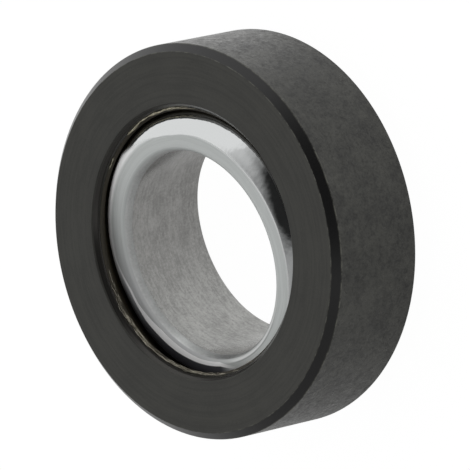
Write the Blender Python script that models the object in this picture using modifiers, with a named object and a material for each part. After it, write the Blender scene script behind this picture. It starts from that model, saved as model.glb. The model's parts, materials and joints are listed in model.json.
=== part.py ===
"""Angular contact spherical plain bearing, 25 mm bore, 47 mm outside, 14 mm wide.

Three turned pieces share one ball centre: an outer ring with a concave seat, a thin
sliding liner bonded into that seat, and an inner ring whose convex ball surface swivels
in the liner. The outer ring's axis is +Z and its wide side is below. The inner ring is
swivelled about X, so its lowest edge, at Z = 0, stands a little below the outer ring.

Every profile is drawn with the ball centre as its zero, as (radius, height) pairs that
run down the outer side and back up the inner side.
"""

import math

import bpy

MM = 0.001

# Inner ring
BORE_RADIUS = 12.5 * MM
INNER_WALL = 8.5 * MM  # from the bore to the ball surface, measured at the ball's equator
BORE_LEAD_DEPTH = 0.9 * MM  # long shallow chamfer at the bore's narrow end, along the axis
BORE_LEAD_RISE = 0.3 * MM  # the same chamfer, across the axis
NARROW_LAND = 1.8 * MM  # flat ring of the narrow face
SHOULDER_RADIUS = 2.5 * MM  # round between the narrow face and the ball
INNER_SETBACK = 0.15 * MM  # wide face of the inner ring above the outer ring's, unswivelled
WIDE_BORE_CHAMFER = 0.3 * MM
WIDE_EDGE_CHAMFER = 0.4 * MM

# Outer ring
OUTER_WALL = 2.5 * MM  # from the ball surface to the outside cylinder, at the equator
OUTER_WIDTH = 14.0 * MM
CENTRE_DROP = 1.6 * MM  # ball centre below the wide face
NARROW_CHAMFER = 0.9 * MM
WIDE_CHAMFER = 0.7 * MM
MOUTH_CHAMFER = 0.25 * MM  # at the wide opening of the seat
LEAD_IN_DEPTH = 1.15 * MM  # conical recess from the narrow face down to the liner's edge
LEAD_IN_ANGLE = math.radians(39.5)  # of that cone, from the axis

# Liner and clearances
LINER_THICKNESS = 0.45 * MM
RUNNING_GAP = 0.25 * MM  # between the ball and the liner
BOND_GAP = 0.15 * MM  # between the liner and its seat

# Pose and fineness
SWIVEL = math.radians(8.0)  # of the inner ring about X, as it lies at rest
SEGMENTS = 96
ARC_STEP = math.radians(4.0)
SHARP_EDGE = math.radians(20.0)

BALL_RADIUS = BORE_RADIUS + INNER_WALL
OUTER_RADIUS = BALL_RADIUS + OUTER_WALL
LINER_INSIDE = BALL_RADIUS + RUNNING_GAP
LINER_OUTSIDE = LINER_INSIDE + LINER_THICKNESS
SEAT_RADIUS = LINER_OUTSIDE + BOND_GAP
NARROW_FACE_Z = CENTRE_DROP + OUTER_WIDTH
LINER_WIDE_END_Z = CENTRE_DROP + MOUTH_CHAMFER


def half_chord(radius, height):
    """Radius at which a sphere about the ball centre is cut by a plane at this height."""
    return math.sqrt(radius**2 - height**2)


def lead_in_edge(radius):
    """Where the lead-in cone cuts a sphere of this radius, as (radius, height)."""
    low_height = NARROW_FACE_Z - LEAD_IN_DEPTH
    low_radius = half_chord(LINER_INSIDE, low_height)
    slant_r, slant_z = math.sin(LEAD_IN_ANGLE), math.cos(LEAD_IN_ANGLE)
    along = low_radius * slant_r + low_height * slant_z
    run = math.sqrt(along**2 + radius**2 - LINER_INSIDE**2) - along
    return low_radius + run * slant_r, low_height + run * slant_z


def arc(centre, radius, start, end):
    """Points of an arc whose angles count from straight up, both ends included."""
    steps = max(1, math.ceil(abs(end - start) / ARC_STEP))
    angles = [start + (end - start) * step / steps for step in range(steps + 1)]
    return [(centre[0] + radius * math.sin(a), centre[1] + radius * math.cos(a)) for a in angles]


def sphere_arc(radius, top_edge, bottom_height):
    """Arc about the ball centre, from a point on it down to a height."""
    start = math.atan2(top_edge[0], top_edge[1])
    end = math.acos(bottom_height / radius)
    return arc((0.0, 0.0), radius, start, end)


def inner_ring_profile():
    land_edge = BORE_RADIUS + BORE_LEAD_RISE + NARROW_LAND
    # the shoulder's round touches the narrow face and the ball
    round_height = half_chord(BALL_RADIUS - SHOULDER_RADIUS, land_edge)
    narrow_face = round_height + SHOULDER_RADIUS
    wide_face = CENTRE_DROP + INNER_SETBACK
    blend = math.atan2(land_edge, round_height)
    wide_edge = wide_face + WIDE_EDGE_CHAMFER
    shoulder = arc((land_edge, round_height), SHOULDER_RADIUS, 0.0, blend)
    ball = arc((0.0, 0.0), BALL_RADIUS, blend, math.acos(wide_edge / BALL_RADIUS))
    return [
        (BORE_RADIUS + BORE_LEAD_RISE, narrow_face),
        *shoulder,
        *ball[1:],
        (half_chord(BALL_RADIUS, wide_edge) - WIDE_EDGE_CHAMFER, wide_face),
        (BORE_RADIUS + WIDE_BORE_CHAMFER, wide_face),
        (BORE_RADIUS, wide_face + WIDE_BORE_CHAMFER),
        (BORE_RADIUS, narrow_face - BORE_LEAD_DEPTH),
    ]


def outer_ring_profile():
    seat_edge = lead_in_edge(SEAT_RADIUS)
    lead_in_mouth = seat_edge[0] + (NARROW_FACE_Z - seat_edge[1]) * math.tan(LEAD_IN_ANGLE)
    seat = sphere_arc(SEAT_RADIUS, seat_edge, LINER_WIDE_END_Z)
    return [
        (lead_in_mouth, NARROW_FACE_Z),
        (OUTER_RADIUS - NARROW_CHAMFER, NARROW_FACE_Z),
        (OUTER_RADIUS, NARROW_FACE_Z - NARROW_CHAMFER),
        (OUTER_RADIUS, CENTRE_DROP + WIDE_CHAMFER),
        (OUTER_RADIUS - WIDE_CHAMFER, CENTRE_DROP),
        (seat[-1][0] + MOUTH_CHAMFER, CENTRE_DROP),
        *reversed(seat),
    ]


def liner_profile():
    outside = sphere_arc(LINER_OUTSIDE, lead_in_edge(LINER_OUTSIDE), LINER_WIDE_END_Z)
    inside = sphere_arc(LINER_INSIDE, lead_in_edge(LINER_INSIDE), LINER_WIDE_END_Z)
    return [*outside, *reversed(inside)]


def lowest_reach(profile):
    """How far the swivelled ring reaches below the ball centre."""
    sine, cosine = math.sin(SWIVEL), math.cos(SWIVEL)
    return max(radius * sine - height * cosine for radius, height in profile)


def metal(name, colour, roughness, metallic):
    material = bpy.data.materials.new(name)
    material.use_nodes = True
    shader = material.node_tree.nodes["Principled BSDF"]
    shader.inputs["Base Color"].default_value = (*colour, 1.0)
    shader.inputs["Roughness"].default_value = roughness
    shader.inputs["Metallic"].default_value = metallic
    return material


def turned(name, profile, material, collection):
    """A closed profile turned once round Z, as an object with its zero at the ball centre."""
    outline = bpy.data.meshes.new(name + "_profile")
    count = len(profile)
    edges = [(i, (i + 1) % count) for i in range(count)]
    outline.from_pydata([(radius, 0.0, height) for radius, height in profile], edges, [])
    piece = bpy.data.objects.new(name, outline)
    collection.objects.link(piece)
    screw = piece.modifiers.new("Turn", "SCREW")
    screw.axis = "Z"
    screw.angle = 2 * math.pi
    screw.steps = SEGMENTS
    screw.render_steps = SEGMENTS
    screw.use_merge_vertices = True
    screw.merge_threshold = 0.01 * MM
    turned_mesh = bpy.data.meshes.new_from_object(piece.evaluated_get(bpy.context.evaluated_depsgraph_get()))
    turned_mesh.name = name
    turned_mesh.materials.append(material)
    turned_mesh.shade_smooth()
    turned_mesh.set_sharp_from_angle(angle=SHARP_EDGE)
    piece.modifiers.remove(screw)
    piece.data = turned_mesh
    bpy.data.meshes.remove(outline)
    return piece


def main():
    for old in list(bpy.data.objects):
        bpy.data.objects.remove(old)
    bearing = bpy.data.collections.new("angular_contact_spherical_plain_bearing")
    bpy.context.scene.collection.children.link(bearing)

    blackened = metal("blackened_steel", (0.045, 0.045, 0.046), 0.55, 0.6)
    woven = metal("woven_liner", (0.16, 0.12, 0.06), 0.8, 0.0)
    chromed = metal("chromed_steel", (0.62, 0.63, 0.64), 0.12, 1.0)

    outer_ring = turned("outer_ring", outer_ring_profile(), blackened, bearing)
    liner = turned("sliding_liner", liner_profile(), woven, bearing)
    inner_ring = turned("inner_ring", inner_ring_profile(), chromed, bearing)

    centre_height = lowest_reach(inner_ring_profile())
    for piece in (outer_ring, liner, inner_ring):
        piece.location.z = centre_height
    inner_ring.rotation_euler.x = SWIVEL


main()
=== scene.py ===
# Angular contact spherical plain bearing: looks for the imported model.
# Lengths are metres in the model's own frame, and mm turns millimetres into metres. Places
# inside the materials are in millimetres.

import json
import math
from types import SimpleNamespace

import bmesh
import bpy
import numpy as np
from mathutils import Matrix, Vector


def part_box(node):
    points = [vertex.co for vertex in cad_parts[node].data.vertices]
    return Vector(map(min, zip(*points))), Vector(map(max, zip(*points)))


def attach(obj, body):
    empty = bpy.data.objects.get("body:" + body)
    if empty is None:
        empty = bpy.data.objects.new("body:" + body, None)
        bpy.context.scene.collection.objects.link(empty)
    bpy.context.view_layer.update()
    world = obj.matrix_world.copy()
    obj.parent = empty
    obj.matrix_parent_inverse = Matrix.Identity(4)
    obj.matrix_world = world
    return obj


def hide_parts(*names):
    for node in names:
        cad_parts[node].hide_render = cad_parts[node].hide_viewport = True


mm = 0.001
tau = 2 * math.pi

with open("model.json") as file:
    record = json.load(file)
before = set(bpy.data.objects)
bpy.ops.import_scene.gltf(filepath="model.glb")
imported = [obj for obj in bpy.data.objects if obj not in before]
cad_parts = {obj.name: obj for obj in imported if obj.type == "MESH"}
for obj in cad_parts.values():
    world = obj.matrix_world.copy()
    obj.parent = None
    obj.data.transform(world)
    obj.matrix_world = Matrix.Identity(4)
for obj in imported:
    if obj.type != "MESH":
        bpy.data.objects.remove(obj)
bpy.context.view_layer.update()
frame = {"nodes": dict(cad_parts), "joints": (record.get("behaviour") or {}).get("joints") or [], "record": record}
print("frame loaded:", sorted(frame["nodes"]))

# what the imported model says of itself: the ball centre, both rings' axes and faces
mounts = {m["name"]: m for m in frame["record"]["mounts"]}
ballCentre = np.array(frame["joints"][0]["pos_m"])
ringAxis = np.array(mounts["inner_narrow_face"]["axis"])
swivel = math.atan2(-ringAxis[1], ringAxis[2])


def alongRing(name):
    # height of an inner ring's face over the ball centre, along that ring's own axis
    return float((np.array(mounts[name]["pos_m"]) - ballCentre) @ ringAxis)


outerLow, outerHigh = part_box("outer_ring")
heights = {
    "outerTop": outerHigh.z - ballCentre[2],
    "outerFoot": outerLow.z - ballCentre[2],
    "innerTop": alongRing("inner_narrow_face"),
    "innerFoot": alongRing("inner_wide_face"),
}


# turned surfaces

def filletedLoop(corners, arcSteps=6, runStep=0.6 * mm, hold=0.03 * mm):
    # A closed outline through corners (radius, height, fillet radius). A corner whose fillet
    # is 0 stays as it is. Each fillet is an arc that touches both sides, with a point close
    # by on either side, and straight runs are cut into steps.
    points = []
    count = len(corners)
    for n in range(count):
        before, here, after = (np.array(corners[(n + k) % count][:2]) for k in (-1, 0, 1))
        radius = corners[n][2]
        if radius == 0:
            points.append(here)
            continue
        toBefore = (before - here) / np.linalg.norm(before - here)
        toAfter = (after - here) / np.linalg.norm(after - here)
        half = math.acos(np.clip(toBefore @ toAfter, -1, 1)) / 2
        reach = radius / math.tan(half)
        middle = here + (toBefore + toAfter) / np.linalg.norm(toBefore + toAfter) * radius / math.sin(half)
        start, end = here + toBefore * reach, here + toAfter * reach
        a = math.atan2(*(start - middle)[::-1])
        b = math.atan2(*(end - middle)[::-1])
        turn = (b - a + math.pi) % tau - math.pi
        angles = a + turn * np.linspace(0, 1, arcSteps + 1)
        points.append(start + toBefore * hold)
        points.extend(middle + radius * np.stack([np.cos(angles), np.sin(angles)], 1))
        points.append(end + toAfter * hold)
    points = np.array(points)
    following = np.roll(points, -1, axis=0)
    runs = []
    for p, q in zip(points, following):
        cuts = max(1, math.ceil(np.linalg.norm(q - p) / runStep))
        runs.append(p + (q - p) * np.arange(cuts)[:, None] / cuts)
    return np.concatenate(runs)


def sphereRun(radius, top, foot, step=0.35 * mm):
    # arc about the ball centre from a height down to another, as corners without fillets
    start, end = math.acos(top / radius), math.acos(foot / radius)
    count = max(2, math.ceil(abs(end - start) * radius / step))
    angles = np.linspace(start, end, count + 1)
    return [(radius * math.sin(a), radius * math.cos(a), 0) for a in angles]


def turnedPoints(outline, segments):
    # each outline point (r, h) at angle a lies at (r cos a, r sin a, h); rows are angles
    angles = np.arange(segments) / segments * tau
    r, h = outline[:, 0], outline[:, 1]
    return np.stack([
        np.cos(angles)[:, None] * r,
        np.sin(angles)[:, None] * r,
        np.broadcast_to(h, (segments, len(r))),
    ], axis=-1)


def gridPiece(name, points, material):
    # rows x columns points become one mesh of quads that closes on itself both ways
    rows, columns = points.shape[:2]
    number = np.arange(rows * columns).reshape(rows, columns)
    nextRow, nextColumn = np.roll(number, -1, 0), np.roll(number, -1, 1)
    corner = np.roll(nextColumn, -1, 0)
    quads = np.stack([number, nextColumn, corner, nextRow], axis=-1).reshape(-1, 4)
    mesh = bpy.data.meshes.new(name)
    mesh.vertices.add(rows * columns)
    mesh.vertices.foreach_set("co", points.astype(np.float32).ravel())
    mesh.loops.add(quads.size)
    mesh.loops.foreach_set("vertex_index", quads.astype(np.int32).ravel())
    mesh.polygons.add(len(quads))
    mesh.polygons.foreach_set("loop_start", np.arange(0, quads.size, 4, dtype=np.int32))
    mesh.update(calc_edges=True)
    mesh.validate()
    return finishedPiece(name, mesh, material)


def finishedPiece(name, mesh, material):
    mesh.shade_smooth()
    mesh.materials.append(material)
    piece = bpy.data.objects.new(name, mesh)
    bpy.context.scene.collection.objects.link(piece)
    return piece


def swivelled(points):
    # turns points about the X axis through the ball centre by the inner ring's swivel
    turn = np.array(Matrix.Rotation(swivel, 3, "X"))
    return points @ turn.T


# shader graphs

class Wire:
    # a socket in a node tree; sums, products and powers on it add their own Math nodes
    def __init__(self, graph, socket):
        self.graph = graph
        self.socket = socket

    def __add__(self, other):
        return self.graph.calculate("ADD", self, other)

    def __sub__(self, other):
        return self.graph.calculate("SUBTRACT", self, other)

    def __mul__(self, other):
        return self.graph.calculate("MULTIPLY", self, other)

    def __truediv__(self, other):
        return self.graph.calculate("DIVIDE", self, other)

    def __pow__(self, other):
        return self.graph.calculate("POWER", self, other)

    def __radd__(self, other):
        return self.graph.calculate("ADD", other, self)

    def __rsub__(self, other):
        return self.graph.calculate("SUBTRACT", other, self)

    def __rmul__(self, other):
        return self.graph.calculate("MULTIPLY", other, self)


class Graph:
    def __init__(self, tree):
        self.tree = tree
        tree.nodes.clear()

    def node(self, kind, settings=None, values=None, output=0):
        made = self.tree.nodes.new(kind)
        for key, value in (settings or {}).items():
            if key == "stops":
                self.setStops(made.color_ramp, value)
            else:
                setattr(made, key, value)
        for key, value in (values or {}).items():
            if isinstance(value, Wire):
                self.tree.links.new(value.socket, made.inputs[key])
            else:
                made.inputs[key].default_value = value
        return Wire(self, made.outputs[output]) if made.outputs else None

    def setStops(self, ramp, stops):
        while len(ramp.elements) < len(stops):
            ramp.elements.new(1.0)
        for element, (position, colour) in zip(ramp.elements, stops):
            element.position = position
            element.color = colour

    def calculate(self, operation, *values):
        return self.node("ShaderNodeMath", {"operation": operation}, dict(enumerate(values)))

    def step(self, value, low, high):
        # 0 below low, 1 above high, eased between; low may be the larger of the two
        return self.node(
            "ShaderNodeMapRange",
            {"interpolation_type": "SMOOTHSTEP"},
            {"Value": value, "From Min": low, "From Max": high},
        )

    def mix(self, factor, first, second):
        return self.node(
            "ShaderNodeMix", {"data_type": "RGBA"}, {0: factor, 6: first, 7: second}, output=2
        )

    def noise(self, place, scale, detail=3.0, roughness=0.5, stretch=None):
        if stretch:
            place = self.node("ShaderNodeMapping", None, {"Vector": place, "Scale": stretch})
        return self.node(
            "ShaderNodeTexNoise",
            None,
            {"Vector": place, "Scale": scale, "Detail": detail, "Roughness": roughness},
        )

    def dot(self, first, second):
        return self.node(
            "ShaderNodeVectorMath", {"operation": "DOT_PRODUCT"}, {0: first, 1: second}, output=1
        )

    def bump(self, height, strength, distance):
        return self.node(
            "ShaderNodeBump", None, {"Height": height, "Strength": strength, "Distance": distance}
        )

    def rays(self, kind):
        # 1 for rays of this kind, 0 for the others
        return self.node("ShaderNodeLightPath", output="Is " + kind + " Ray")

    def ringPlace(self, turn):
        # object coordinates with the ball centre as zero and the ring's own axis as Z,
        # in millimetres: the place, its radius, its height and its angle round the ring
        coordinates = self.node("ShaderNodeTexCoord", output="Object")
        shifted = self.node(
            "ShaderNodeVectorMath", {"operation": "SUBTRACT"}, {0: coordinates, 1: tuple(ballCentre)}
        )
        place = self.node(
            "ShaderNodeMapping",
            None,
            {"Vector": shifted, "Rotation": (-turn, 0, 0), "Scale": (1 / mm,) * 3},
        )
        x, y, height = (self.node("ShaderNodeSeparateXYZ", None, {0: place}, output=n) for n in range(3))
        return SimpleNamespace(
            place=place,
            radius=(x * x + y * y) ** 0.5,
            height=height,
            angle=self.calculate("ARCTAN2", y, x),
        )

    def turningMarks(self, at, perMillimetre):
        # fine rings left by the tool: noise that runs quickly along the radius and the
        # height and drifts slowly round the ring
        drift = self.noise(at.place, 0.12, 2.0) * 6.0
        way = self.node(
            "ShaderNodeCombineXYZ",
            None,
            {0: at.radius * perMillimetre, 1: at.height * perMillimetre, 2: drift},
        )
        return self.noise(way, 1.0, 2.0)

    def surface(self, values):
        shader = self.node("ShaderNodeBsdfPrincipled", None, values)
        self.node("ShaderNodeOutputMaterial", None, {"Surface": shader})


def newMaterial(name):
    material = bpy.data.materials.new(name)
    material.use_nodes = True
    return material, Graph(material.node_tree)


def grey(level, tint=(1.0, 1.0, 1.0)):
    return (level * tint[0], level * tint[1], level * tint[2], 1.0)


# outer ring

blackenedTint = (1.0, 1.0, 0.84)
outerRingSettings = {
    "narrowChamfer": 0.9 * mm,
    "wideChamfer": 0.7 * mm,
    "mouthChamfer": 0.25 * mm,
    "leadInDepth": 1.15 * mm,
    "leadInAngle": math.radians(39.5),
    "edgeRound": 0.08 * mm,
    "segments": 480,
    # blackened steel: its dark and its light patches, and the plain surfaces
    "wallTones": (grey(0.012, blackenedTint), grey(0.055, blackenedTint)),
    "faceTones": (grey(0.026, blackenedTint), grey(0.041, blackenedTint)),
    "rubbedTone": grey(0.10, blackenedTint),
    "chamferTone": grey(0.008),
    "leadInTone": grey(0.045, (1.04, 1.0, 0.92)),
    "leadInEnd": (17.2, 16.8),  # radii that part the lead-in from the outside
    "leadInMetal": 0.65,
    "faceRoughness": 0.62,
    "wallRoughness": 0.36,
    "chamferRoughness": 0.32,
    "leadInRoughness": 0.26,
    "patchShine": 0.45,  # how much less rough the wall's light patches are
    "markShine": 0.08,  # how much the face's turning marks vary its roughness
    # noise: how fine per millimetre, detail, roughness
    "mottle": (1.3, 4.0, 0.62),
    "grain": (3.4, 3.0, 0.6),
    "cloud": (0.28, 2.0, 0.5),
    "wear": (0.9, 4.0, 0.7),
    "marksPerMillimetre": 4.0,
    "bump": (0.35, 0.06 * mm),
}

linerSettings = {
    "ballRadius": 21.0 * mm,
    "runningGap": 0.25 * mm,
    "thickness": 0.45 * mm,
    "bondGap": 0.02 * mm,
    "runStep": 0.3 * mm,
    "segments": 540,
    # resin-bonded fabric: dark and light fibres, on its inside and on its cut edge
    "fibreTones": ((0.030, 0.024, 0.014, 1), (0.075, 0.058, 0.030, 1)),
    "edgeTones": ((0.02, 0.017, 0.011, 1), (0.05, 0.042, 0.026, 1)),
    "fibre": (6.0, 4.0, 0.6),
    "roughness": 0.7,
    "bump": (0.6, 0.08 * mm),
}
linerInside = linerSettings["ballRadius"] + linerSettings["runningGap"]
linerOutside = linerInside + linerSettings["thickness"]
seatRadius = linerOutside + linerSettings["bondGap"]


def leadInPoint(radius):
    # where the lead-in cone, which starts at the liner's inner edge, cuts a sphere
    s = outerRingSettings
    low = heights["outerTop"] - s["leadInDepth"]
    start = np.array([math.sqrt(linerInside**2 - low**2), low])
    slope = np.array([math.sin(s["leadInAngle"]), math.cos(s["leadInAngle"])])
    along = start @ slope
    run = math.sqrt(along**2 + radius**2 - linerInside**2) - along
    return start + slope * run


def outerRingOutline():
    # the section of the outer ring, from the mouth of the lead-in outwards and round
    s = outerRingSettings
    outside = outerHigh.x
    top, foot = heights["outerTop"], heights["outerFoot"]
    seat = leadInPoint(seatRadius)
    mouth = seat[0] + (top - seat[1]) * math.tan(s["leadInAngle"])
    wideEnd = foot + s["mouthChamfer"]
    wideRadius = math.sqrt(seatRadius**2 - wideEnd**2)
    run = sphereRun(seatRadius, seat[1], wideEnd)
    return filletedLoop([
        (mouth, top, s["edgeRound"]),
        (outside - s["narrowChamfer"], top, s["edgeRound"]),
        (outside, top - s["narrowChamfer"], s["edgeRound"]),
        (outside, foot + s["wideChamfer"], s["edgeRound"]),
        (outside - s["wideChamfer"], foot, s["edgeRound"]),
        (wideRadius + s["mouthChamfer"], foot, s["edgeRound"] / 2),
        *run[::-1],
    ])


def blackenedSteel():
    s = outerRingSettings
    material, graph = newMaterial("blackenedSteel")
    at = graph.ringPlace(0.0)
    outside, top = outerHigh.x / mm, heights["outerTop"] / mm
    chamfer = s["narrowChamfer"] / mm
    # where the surfaces lie, eased over about a tenth of a millimetre
    onWall = graph.step(at.radius, outside - 0.12, outside - 0.02)
    onFace = graph.step(at.height, top - 0.1, top - 0.02)
    onChamfer = graph.step(at.radius, outside - chamfer, outside - chamfer + 0.08) * (1 - onWall)
    onLeadIn = graph.step(at.height, top - 0.10, top - 0.20) * graph.step(at.radius, *s["leadInEnd"])
    mottle = graph.noise(at.place, *s["mottle"])
    grain = graph.noise(at.place, *s["grain"])
    streaks = graph.turningMarks(at, s["marksPerMillimetre"])
    cloud = graph.noise(at.place, *s["cloud"])
    blotch = graph.step(mottle * 0.35 + grain * 0.35 + cloud * 0.3, 0.34, 0.66)
    marks = graph.step(streaks * 0.5 + grain * 0.25 + cloud * 0.25, 0.35, 0.65)
    tone = graph.mix(onWall, graph.mix(marks, *s["faceTones"]), graph.mix(blotch, *s["wallTones"]))
    tone = graph.mix(onChamfer, tone, s["chamferTone"])
    # the chamfer's two edges are rubbed a little brighter, here and there
    faceEdge = graph.step(at.radius, outside - chamfer - 0.1, outside - chamfer)
    wallEdge = graph.step(at.height, top - chamfer - 0.12, top - chamfer - 0.02)
    edges = faceEdge * (1 - onChamfer - onWall) + wallEdge * onWall
    rubbed = edges * graph.step(graph.noise(at.place, *s["wear"]), 0.42, 0.62)
    tone = graph.mix(rubbed, tone, s["rubbedTone"])
    tone = graph.mix(onLeadIn, tone, s["leadInTone"])
    rough = s["faceRoughness"] - onWall * (s["faceRoughness"] - s["wallRoughness"])
    rough = rough - onChamfer * (s["faceRoughness"] - s["chamferRoughness"])
    rough = rough - onLeadIn * (s["faceRoughness"] - s["leadInRoughness"])
    rough = rough - (mottle + grain - 1.0) * onWall * s["patchShine"]
    rough = rough + (streaks - 0.5) * onFace * s["markShine"]
    relief = ((grain - 0.5) * 0.9 + (mottle - 0.5) * 0.5) * onWall + (streaks - 0.5) * onFace * 0.12
    graph.surface({
        "Base Color": tone,
        "Metallic": onLeadIn * s["leadInMetal"],
        "Roughness": rough,
        "Normal": graph.bump(relief, *s["bump"]),
    })
    return material


# liner

def linerOutline():
    # the section of the liner, down its outside and up its inside
    top = leadInPoint(linerOutside)
    low = leadInPoint(linerInside)
    wideEnd = heights["outerFoot"] + outerRingSettings["mouthChamfer"]
    outside = sphereRun(linerOutside, top[1], wideEnd)
    inside = sphereRun(linerInside, low[1], wideEnd)
    return filletedLoop([*outside, *inside[::-1]], runStep=linerSettings["runStep"])


def wovenLiner():
    s = linerSettings
    material, graph = newMaterial("wovenLiner")
    at = graph.ringPlace(0.0)
    edge = (heights["outerTop"] - outerRingSettings["leadInDepth"]) / mm
    onEdge = graph.step(at.height, edge - 0.12, edge + 0.05)
    fibre = graph.noise(at.place, *s["fibre"])
    tone = graph.mix(onEdge, graph.mix(fibre, *s["fibreTones"]), graph.mix(fibre, *s["edgeTones"]))
    bump = graph.bump(fibre, *s["bump"])
    graph.surface({"Base Color": tone, "Roughness": s["roughness"], "Normal": bump})
    return material


threadSettings = {
    # groups of threads: first and last angle round the ring in degrees, how many, how far up
    # the wall from the liner's inner edge they lie, and their shortest and longest run
    "groups": [
        (-135, -104, 26, (0.05 * mm, 0.52 * mm), (0.8 * mm, 3.6 * mm)),
        (-110, -60, 46, (0.10 * mm, 0.46 * mm), (0.5 * mm, 3.0 * mm)),
        (-66, -40, 10, (0.20 * mm, 0.50 * mm), (0.4 * mm, 1.5 * mm)),
        (118, 138, 20, (0.54 * mm, 0.59 * mm), (1.5 * mm, 3.6 * mm)),
        (132, 152, 6, (0.45 * mm, 0.53 * mm), (1.5 * mm, 3.0 * mm)),
        (150, 174, 5, (0.33 * mm, 0.43 * mm), (1.0 * mm, 2.6 * mm)),
    ],
    "radius": (0.012 * mm, 0.022 * mm),
    "taper": 0.75,  # how much thinner a thread's ends are
    "drift": 1 / 6,  # how far its end strays, as a share of its group's band
    "wander": 0.05 * mm,  # how far it waves to either side
    "fullWave": 2 * mm,  # a shorter thread waves less
    "band": (0.02 * mm, 0.8 * mm),  # where on the wall it has to stay
    "arch": 0.10 * mm,  # how far it stands off the wall
    "points": 18,
    "sides": 5,
    "seed": 11,
    # dull and bright stretches of a thread, with painted shade in the lower half of the ring and painted light in
    # the upper
    "lowerTones": ((0.24, 0.22, 0.17, 1), (0.66, 0.62, 0.50, 1)),
    "upperTones": ((0.50, 0.46, 0.33, 1), (1.0, 0.95, 0.74, 1)),
    "upperAngles": (0.4, 1.2),  # radians round the ring, from the painted shade to the painted light
    "shade": (1.2, 3.0, 0.6),
    "roughness": 0.6,
}


def tubePiece(name, centres, across, upward, radii, material):
    # Many closed tubes in one mesh. centres is threads x points x 3, across and upward span
    # each cross-section, and radii is threads x points. A point of a tube lies at
    # centre + radius * (cos b * across + sin b * upward).
    threads, count = radii.shape
    sides = threadSettings["sides"]
    b = np.arange(sides) / sides * tau
    ring = np.cos(b)[:, None] * across[:, :, None, :] + np.sin(b)[:, None] * upward[:, :, None, :]
    points = centres[:, :, None, :] + radii[:, :, None, None] * ring
    number = np.arange(threads * count * sides).reshape(threads, count, sides)
    beside = np.roll(number, -1, 2)
    quads = np.stack([number[:, :-1], beside[:, :-1], beside[:, 1:], number[:, 1:]], -1).reshape(-1, 4)
    ends = np.concatenate([number[:, 0, ::-1], number[:, -1]])
    mesh = bpy.data.meshes.new(name)
    mesh.from_pydata(points.reshape(-1, 3), [], quads.tolist() + ends.tolist())
    work = bmesh.new()
    work.from_mesh(mesh)
    bmesh.ops.recalc_face_normals(work, faces=work.faces)
    work.to_mesh(mesh)
    work.free()
    return finishedPiece(name, mesh, material)


def frayedThreads(material):
    # Each thread runs round the lead-in wall: along the wall it sits at a height w over the
    # liner's inner edge plus three small waves, and it arches off the wall by half a sine.
    s = threadSettings
    draw = np.random.default_rng(s["seed"])
    parts = []
    for first, last, count, rise, run in s["groups"]:
        start = np.radians(draw.uniform(first, last, count))
        low = draw.uniform(*rise, count)
        length = draw.uniform(*run, count) * draw.choice([-1, 1], count)
        drift = draw.normal(0, s["drift"], count) * (rise[1] - rise[0])
        parts.append(np.stack([start, low, length, drift], 1))
    start, low, length, drift = np.concatenate(parts).T[:, :, None]
    count = len(start)
    t = np.linspace(0, 1, s["points"])[None, :]
    wave = sum(
        draw.normal(0, s["wander"] / k, (count, 1)) * np.sin(tau * (k * 0.8 * t + draw.random((count, 1))))
        for k in (1, 2, 3)
    )
    wave = wave * np.clip(abs(length) / s["fullWave"], 0.3, 1)
    w = np.clip(low + drift * t + wave, *s["band"])
    radii = draw.uniform(*s["radius"], (count, 1)) * (1 - s["taper"] * np.abs(2 * t - 1) ** 5)
    arch = radii + abs(draw.normal(0, s["arch"], (count, 1))) * np.sin(math.pi * t)
    foot = leadInPoint(linerInside)
    lean = outerRingSettings["leadInAngle"]
    r = foot[0] + w * math.sin(lean) - arch * math.cos(lean)
    h = foot[1] + w * math.cos(lean) + arch * math.sin(lean)
    angle = start + length * t / foot[0]
    outward = np.stack([np.cos(angle), np.sin(angle), np.zeros_like(angle)], -1)
    upright = np.broadcast_to((0.0, 0.0, 1.0), outward.shape)
    centres = outward * r[..., None] + upright * (h + ballCentre[2])[..., None]
    across = outward * math.sin(lean) + upright * math.cos(lean)
    upward = upright * math.sin(lean) - outward * math.cos(lean)
    return tubePiece("linerThreads", centres, across, upward, radii, material)


def looseThread():
    s = threadSettings
    material, graph = newMaterial("looseThread")
    at = graph.ringPlace(0.0)
    shade = graph.step(graph.noise(at.place, *s["shade"]), 0.35, 0.7)
    shadedThreadTone, litThreadTone = graph.mix(shade, *s["lowerTones"]), graph.mix(shade, *s["upperTones"])
    # threads in the upper half of the ring are painted lighter, as lit, and in the lower half darker, as shade
    tone = graph.mix(graph.step(at.angle, *s["upperAngles"]), shadedThreadTone, litThreadTone)
    graph.surface({"Base Color": tone, "Roughness": s["roughness"]})
    return material


# inner ring

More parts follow.
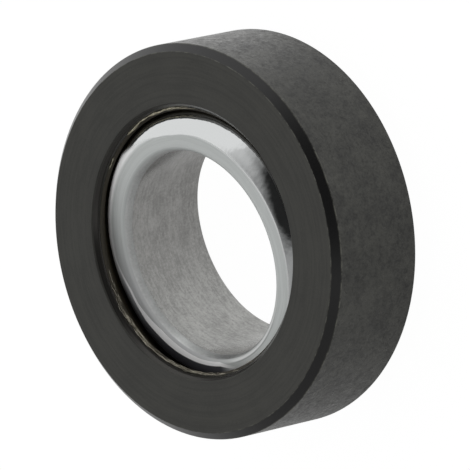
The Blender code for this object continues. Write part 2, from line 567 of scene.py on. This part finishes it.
innerRingSettings = {
    "ballRadius": linerSettings["ballRadius"],
    "boreRadius": 12.5 * mm,
    "boreLeadDepth": 0.9 * mm,
    "boreLeadRise": 0.3 * mm,
    "narrowLand": 1.8 * mm,
    "shoulderRadius": 2.5 * mm,
    "shoulderPoints": 17,
    "wideBoreChamfer": 0.3 * mm,
    "wideEdgeChamfer": 0.4 * mm,
    "edgeRound": 0.12 * mm,
    "leadRound": (0.7 * mm, 1.5 * mm),  # where the bore's lead meets the face and the bore
    "segments": 600,
    # The lists below run round the ring as (degrees, value). First, the radius in millimetres
    # at which the ground face ends, and how soft its end is.
    "groundEdge": [
        (0, 15.0), (60, 15.05), (100, 14.9), (116, 14.6), (126, 14.65), (138, 14.97), (146, 15.33),
        (156, 16.0), (200, 16.0), (204, 15.4), (210, 15.0), (223, 14.35), (240, 14.38), (248, 14.2),
        (262, 14.05), (270, 13.9), (279, 13.78), (294, 13.55), (305, 14.0), (312, 14.6), (330, 14.9),
    ],
    "softEdge": [(0, 0), (128, 0), (142, 1), (160, 1), (190, 0)],
    "softWidth": 0.3,  # millimetres to either side where it is softest
    # how sheltered the ring lies from the light, and in that stretch how far the satin finish
    # reaches past the face's end, how wide a painted highlight lies as a bright rim inside it,
    # and how much painted light is left past it before the painted shade
    "sheltered": [(0, 0), (192, 0), (212, 0.6), (222, 1), (294, 1), (306, 0)],
    "satinReach": 1.25,  # millimetres, where wholly sheltered
    "rimWidth": [
        (0, 0), (205, 0.2), (231, 0.35), (239, 0.7), (250, 0.95), (262, 0.85), (279, 0.55), (294, 0.45),
        (303, 0.3), (312, 0),
    ],
    "afterglow": [(0, 1), (222, 1), (231, 0.6), (239, 0.25), (248, 0.1), (262, 0.03), (300, 0.1)],
    "afterglowEdge": (1.35, -0.06),  # millimetres past the face's end, from painted shade to painted light
    # the lead's painted light and shade round the ring, where two painted lines show beside it, and how much
    # painted light lies in the bore
    "leadGrey": [(0, 0.57), (250, 0.57), (262, 0.8), (280, 0.42), (294, 0.24), (326, 0.22), (344, 0.5)],
    "leadLines": [(0, 0), (300, 0), (310, 1), (345, 1), (358, 0)],
    "lightBore": [(0, 0.5), (60, 0.1), (100, 0), (170, 0.1), (205, 0.22), (230, 0.6), (250, 1), (300, 1)],
    # tones of each finish, with painted light and shade: a tone for the face in shade, a painted
    # highlight, painted shade past the face's end, and the range of the lead's painted light
    "mirrorTone": grey(0.66, (0.98, 1.0, 1.0)),
    "faceTones": (grey(0.56, (0.96, 1.0, 0.985)), grey(0.63, (0.96, 1.0, 0.985))),
    "shelteredTone": grey(0.47, (0.98, 1.0, 1.0)),
    "rimTone": grey(1.0),
    "pastEdgeTones": (grey(0.03, (0.9, 0.9, 1.1)), grey(0.42, (0.97, 0.99, 1.02))),
    "leadTones": (grey(0.0), grey(1.0, (0.98, 1.0, 0.99))),
    # the two lines painted beside the lead, a darker one and a lighter painted highlight: first and last
    # millimetre from the bore, strength and tone
    "turnedLines": [(0.70, 0.94, 0.5, grey(0.2)), (0.42, 0.74, 0.6, grey(0.8))],
    "boreTones": (grey(0.23, (1.0, 0.99, 0.96)), grey(0.355, (1.0, 0.99, 0.96))),
    "lightBoreTones": (grey(0.40, (1.0, 1.0, 0.97)), grey(0.64, (1.0, 1.0, 0.97))),
    # noise: how fine per millimetre, detail, roughness, and stretch along the bore
    "cloud": (0.35, 4.0, 0.55),
    "speckle": (3.5, 4.0, 0.65),
    "drawn": (1.0, 3.0, 0.6, (0.7, 0.7, 3.2)),
    "waver": (0.55, 2.6, 0.5),
    "pores": (9.0, 2.0),
    "marksPerMillimetre": 5.0,
    "waverDepth": 4.5,
    "poreDepth": 0.4,
    "mirrorRoughness": 0.07,
    "faceRoughness": 0.45,
    "boreRoughness": 0.17,
    "faceDullness": 0.65,  # how far the satin face is from metallic; where sheltered, wholly
    "limbDullness": 0.3,
    "bump": (0.2, 0.04 * mm),
}


def innerRingOutline():
    # the section of the inner ring: narrow face, shoulder, ball, wide face, bore and its lead
    s = innerRingSettings
    top, foot = heights["innerTop"], heights["innerFoot"]
    landEdge = s["boreRadius"] + s["boreLeadRise"] + s["narrowLand"]
    roundHeight = top - s["shoulderRadius"]
    blend = math.atan2(landEdge, roundHeight)
    shoulder = [
        (landEdge + s["shoulderRadius"] * math.sin(a), roundHeight + s["shoulderRadius"] * math.cos(a), 0)
        for a in np.linspace(0, blend, s["shoulderPoints"])
    ]
    wideEdge = foot + s["wideEdgeChamfer"]
    ball = sphereRun(s["ballRadius"], s["ballRadius"] * math.cos(blend), wideEdge)
    return filletedLoop([
        (s["boreRadius"] + s["boreLeadRise"], top, s["leadRound"][0]),
        *shoulder,
        *ball[1:],
        (math.sqrt(s["ballRadius"] ** 2 - wideEdge**2) - s["wideEdgeChamfer"], foot, s["edgeRound"]),
        (s["boreRadius"] + s["wideBoreChamfer"], foot, s["edgeRound"] / 2),
        (s["boreRadius"], foot + s["wideBoreChamfer"], s["edgeRound"] / 2),
        (s["boreRadius"], top - s["boreLeadDepth"], s["leadRound"][1]),
    ])


def aroundRing(graph, angle, stops, low=0.0, high=1.0):
    # a value that runs round the ring through stops (degrees, value), back to the first
    turns = graph.calculate("WRAP", angle, tau, 0.0) / tau
    levels = [(degrees / 360, grey((value - low) / (high - low))) for degrees, value in stops]
    levels.append((1.0, levels[0][1]))
    ramp = graph.node("ShaderNodeValToRGB", {"stops": levels}, {"Fac": turns})
    return ramp * (high - low) + low


def chromedSteel():
    # three finishes: mirror outside, satin on the ground face, dull grey in the bore, with painted light and shade
    # on the face, past its end, on the lead and in the bore
    s = innerRingSettings
    material, graph = newMaterial("chromedSteel")
    at = graph.ringPlace(swivel)
    top, bore = heights["innerTop"] / mm, s["boreRadius"] / mm

    def around(name, low=0.0, high=1.0):
        return aroundRing(graph, at.angle, s[name], low, high)

    def band(start, end):
        # 1 between two distances from the bore, eased over 0.08 mm
        inner = graph.step(at.radius, bore + start, bore + start + 0.08)
        return inner * graph.step(at.radius, bore + end, bore + end - 0.08)

    onLead = graph.step(at.radius, bore + 0.36, bore + 0.26)
    onBore = graph.step(at.height, top - 0.98, top - 1.3) * graph.step(at.radius, bore + 0.2, bore + 0.1)
    # the ground face ends at an uneven edge; beyond is the distance past it
    beyond = at.radius - around("groundEdge", 13.0, 16.0)
    sheltered = around("sheltered")
    soft = around("softEdge") * s["softWidth"]
    widened = sheltered * s["satinReach"]
    satin = graph.step(beyond, widened + soft + 0.10, widened - soft - 0.06)
    satin = satin * graph.step(at.height, top - 1.5, top - 1.3) * (1 - onBore)
    # past the edge the sheltered stretch is painted dark, a painted shade and painted reflection of its dark
    # surroundings, with painted light left close to the edge
    shaded = sheltered * graph.step(beyond, 0.0, 0.12)
    afterglow = graph.step(beyond, *s["afterglowEdge"]) * around("afterglow")
    # a painted highlight: a bright rim just inside the face's end where it lies sheltered
    rimHighlight = sheltered * graph.step(beyond + around("rimWidth", 0.0, 2.0), -0.06, 0.06) * (1 - shaded)
    limbHighlight = satin * graph.step(at.radius, 14.7, 15.3)  # the face's outermost part, painted lighter as a highlight

    cloud = graph.noise(at.place, *s["cloud"])
    speckle = graph.noise(at.place, *s["speckle"])
    drawn = graph.noise(at.place, *s["drawn"])
    marks = graph.step(graph.turningMarks(at, s["marksPerMillimetre"]), 0.3, 0.7)
    faceTone = graph.mix(marks, *s["faceTones"])
    # where the face lies sheltered it is painted with a tone of its own, for the shade it lies in
    faceTone = graph.mix(sheltered, faceTone, s["shelteredTone"])
    # the painted highlight on the bright rim and on the face's outermost part
    faceTone = graph.mix(rimHighlight, faceTone, s["rimTone"])
    tone = graph.mix(satin, s["mirrorTone"], graph.mix(limbHighlight, faceTone, s["rimTone"]))
    # painted shade past the face's end, with painted light left close to it
    tone = graph.mix(shaded, tone, graph.mix(afterglow, *s["pastEdgeTones"]))
    # the lead's grey is painted light and shade round the ring, with random mottle on it
    leadShadeAndMottle = around("leadGrey") + (cloud + speckle - 1.0) * 0.3
    tone = graph.mix(onLead, tone, graph.mix(leadShadeAndMottle, *s["leadTones"]))
    # two lines painted beside the lead in one stretch round the ring; the lighter one is a painted highlight
    lines = around("leadLines")
    for start, end, strength, lineTone in s["turnedLines"]:
        tone = graph.mix(band(start, end) * lines * strength, tone, lineTone)
    grain = graph.step(cloud * 0.25 + speckle * 0.4 + drawn * 0.35, 0.36, 0.64)
    boreTone = graph.mix(grain, *s["boreTones"])
    # painted light in the bore: lighter in one stretch round the ring
    boreTone = graph.mix(around("lightBore"), boreTone, graph.mix(grain, *s["lightBoreTones"]))
    tone = graph.mix(onBore, tone, boreTone)

    rough = s["mirrorRoughness"] + satin * (s["faceRoughness"] - s["mirrorRoughness"])
    rough = rough + onBore * (s["boreRoughness"] - s["mirrorRoughness"]) + speckle * onBore * 0.1
    dull = s["faceDullness"] + sheltered * (1 - s["faceDullness"])
    metallic = 1 - satin * dull - limbHighlight * (1 - shaded) * s["limbDullness"]
    metallic = metallic * (1 - onLead * (1 - onBore))
    # the polish is not quite even, which makes the edges of its reflections waver
    waver = (graph.noise(at.place, *s["waver"]) - 0.5) * (1 - satin) * s["waverDepth"]
    pores = (graph.noise(at.place, *s["pores"]) - 0.5) * satin * s["poreDepth"]
    relief = (speckle + drawn - 1.0) * onBore + (waver + pores) * (1 - onLead)
    graph.surface({
        "Base Color": tone,
        "Metallic": metallic,
        "Roughness": rough,
        "Normal": graph.bump(relief, *s["bump"]),
    })
    return material


# studio

cameraPlace = {
    "aim": (-0.287 * mm, -0.408 * mm, 8.902 * mm),
    "azimuth": math.radians(33.319),  # from +X towards +Y
    "elevation": math.radians(44.544),
    "distance": 942.48 * mm,
    "roll": math.radians(102.183),  # the photographed ring stands on its rim
    "focalPixels": 8000,
    "imagePixels": 470,
    "sensor": 36.0,  # width in millimetres
    "clip": (0.05, 50.0),
}


def cameraAxes():
    # right, up and back of the camera as unit vectors
    c = cameraPlace
    flat = math.cos(c["elevation"])
    back = Vector((
        flat * math.cos(c["azimuth"]), flat * math.sin(c["azimuth"]), math.sin(c["elevation"])
    ))
    right = Vector((0, 0, 1)).cross(back).normalized()
    up = back.cross(right)
    turnRight = right * math.cos(c["roll"]) + up * -math.sin(c["roll"])
    turnUp = up * math.cos(c["roll"]) + right * math.sin(c["roll"])
    return turnRight, turnUp, back


def placeCamera():
    c = cameraPlace
    right, up, back = cameraAxes()
    data = bpy.data.cameras.new("photoCamera")
    data.sensor_width = c["sensor"]
    data.lens = c["focalPixels"] / c["imagePixels"] * c["sensor"]
    data.clip_start, data.clip_end = c["clip"]
    camera = bpy.data.objects.new("photoCamera", data)
    turned = Matrix((right, up, back)).transposed().to_4x4()
    camera.matrix_world = Matrix.Translation(Vector(c["aim"]) + back * c["distance"]) @ turned
    bpy.context.scene.collection.objects.link(camera)
    bpy.context.scene.camera = camera


studioLight = {
    # Soft plane edges: which way the far side lies from the camera (degrees to the right,
    # degrees up), how far along that way the edge starts, and how wide it is.
    "duskEdge": (47.4, -39.0, -0.443, 0.063),
    "darkEdges": [(82.7, -40.1, -0.782, 0.434), (-49.8, 76.4, -0.414, 0.388), (24.7, -10.1, -0.34, 0.286)],
    "belowEdge": (0.0, -90.0, 0.246, 0.369),
    # levels of light past those edges, while the rest is at 1
    "dusk": 0.73,
    "dark": 0.02,
    "below": 0.342,
}


def cameraWay(side, rise):
    # the direction that lies at these angles from the camera, seen from the part
    right, up, back = cameraAxes()
    flat = math.cos(rise)
    return right * (flat * math.sin(side)) + up * math.sin(rise) + back * (flat * math.cos(side))


def studioWorld():
    # a white studio, dimmer to the lower right, with a dark room behind the camera that only
    # mirror rays see, and a grey ground; camera rays see plain white
    s = studioLight
    world = bpy.data.worlds.new("studio")
    world.use_nodes = True
    bpy.context.scene.world = world
    graph = Graph(world.node_tree)
    direction = graph.node("ShaderNodeTexCoord", output="Generated")

    def beyond(side, rise, start, width):
        way = cameraWay(math.radians(side), math.radians(rise))
        return graph.step(graph.dot(direction, tuple(way)), start, start + width)

    below = beyond(*s["belowEdge"])
    inDusk = beyond(*s["duskEdge"]) * (1 - below)
    first, second, third = (beyond(*edge) for edge in s["darkEdges"])
    light = graph.mix(below, grey(1.0), grey(s["below"]))
    light = graph.mix(inDusk, light, grey(s["dusk"]))
    light = graph.mix(first * second * third * graph.rays("Glossy"), light, grey(s["dark"]))
    light = graph.mix(graph.rays("Camera"), light, grey(1.0))
    shine = graph.node("ShaderNodeBackground", None, {"Color": light, "Strength": 1.0})
    graph.node("ShaderNodeOutputWorld", None, {"Surface": shine})


floorSettings = {
    "halfSize": 3.0,
    "paper": 0.85,
    "whiteStrength": 1.03,
    # Mirror rays alone see a dark cloth on one side of the part and a white card on the other:
    # the way towards the card, and where along it each of them starts and is whole.
    "cardWay": (-0.866, 0.5, 0.0),
    "clothEdge": (-5 * mm, -30 * mm),
    "cardEdge": (13 * mm, 30 * mm),
    # how much of the paper each kind of ray sees as white
    "seenWhite": 0.95,
    "mirroredWhite": 0.45,
    "clothShare": 0.35,  # less on the cloth
    "cardShare": 0.55,  # more on the card
}


def studioFloor():
    # a wide pale sheet under the part; camera rays see it nearly white, and mirror rays see it
    # about half white, with the cloth and the card, which the outside cylinder's top reflects
    s = floorSettings
    size = s["halfSize"]
    corners = [(-size, -size, 0), (size, -size, 0), (size, size, 0), (-size, size, 0)]
    mesh = bpy.data.meshes.new("floor")
    mesh.from_pydata(corners, [], [(0, 1, 2, 3)])
    floor = bpy.data.objects.new("floor", mesh)
    bpy.context.scene.collection.objects.link(floor)
    material, graph = newMaterial("floorPaper")
    matt = graph.node("ShaderNodeBsdfDiffuse", None, {"Color": grey(s["paper"])})
    white = graph.node("ShaderNodeEmission", None, {"Color": grey(1.0), "Strength": s["whiteStrength"]})
    place = graph.node("ShaderNodeTexCoord", output="Object")
    towardsCard = graph.dot(place, s["cardWay"])
    cloth = graph.step(towardsCard, *s["clothEdge"])
    card = graph.step(towardsCard, *s["cardEdge"])
    mirrored = s["mirroredWhite"] - cloth * s["clothShare"] + card * s["cardShare"]
    seen = (graph.rays("Camera") + graph.rays("Transmission")) * s["seenWhite"]
    share = seen + graph.rays("Glossy") * mirrored
    both = graph.node("ShaderNodeMixShader", None, {0: share, 1: matt, 2: white})
    graph.node("ShaderNodeOutputMaterial", None, {"Surface": both})
    mesh.materials.append(material)


# making

def makeBearing():
    lift = np.array([0, 0, ballCentre[2]])
    steel, liner, chrome = blackenedSteel(), wovenLiner(), chromedSteel()

    points = turnedPoints(outerRingOutline(), outerRingSettings["segments"]) + lift
    outer = gridPiece("outerRing", points, steel)
    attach(outer, "outer")
    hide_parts("outer_ring")
    print("outer ring:", len(outer.data.polygons), "quads")

    points = turnedPoints(linerOutline(), linerSettings["segments"]) + lift
    lining = gridPiece("slidingLiner", points, liner)
    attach(lining, "outer")
    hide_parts("sliding_liner")
    print("liner:", len(lining.data.polygons), "quads")

    threads = frayedThreads(looseThread())
    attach(threads, "outer")
    print("loose threads:", len(threads.data.polygons), "faces")

    points = swivelled(turnedPoints(innerRingOutline(), innerRingSettings["segments"])) + ballCentre
    inner = gridPiece("innerRing", points, chrome)
    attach(inner, "inner")
    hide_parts("inner_ring")
    print("inner ring:", len(inner.data.polygons), "quads")


makeBearing()
placeCamera()
studioWorld()
studioFloor()
bpy.context.scene.view_settings.view_transform = "Standard"
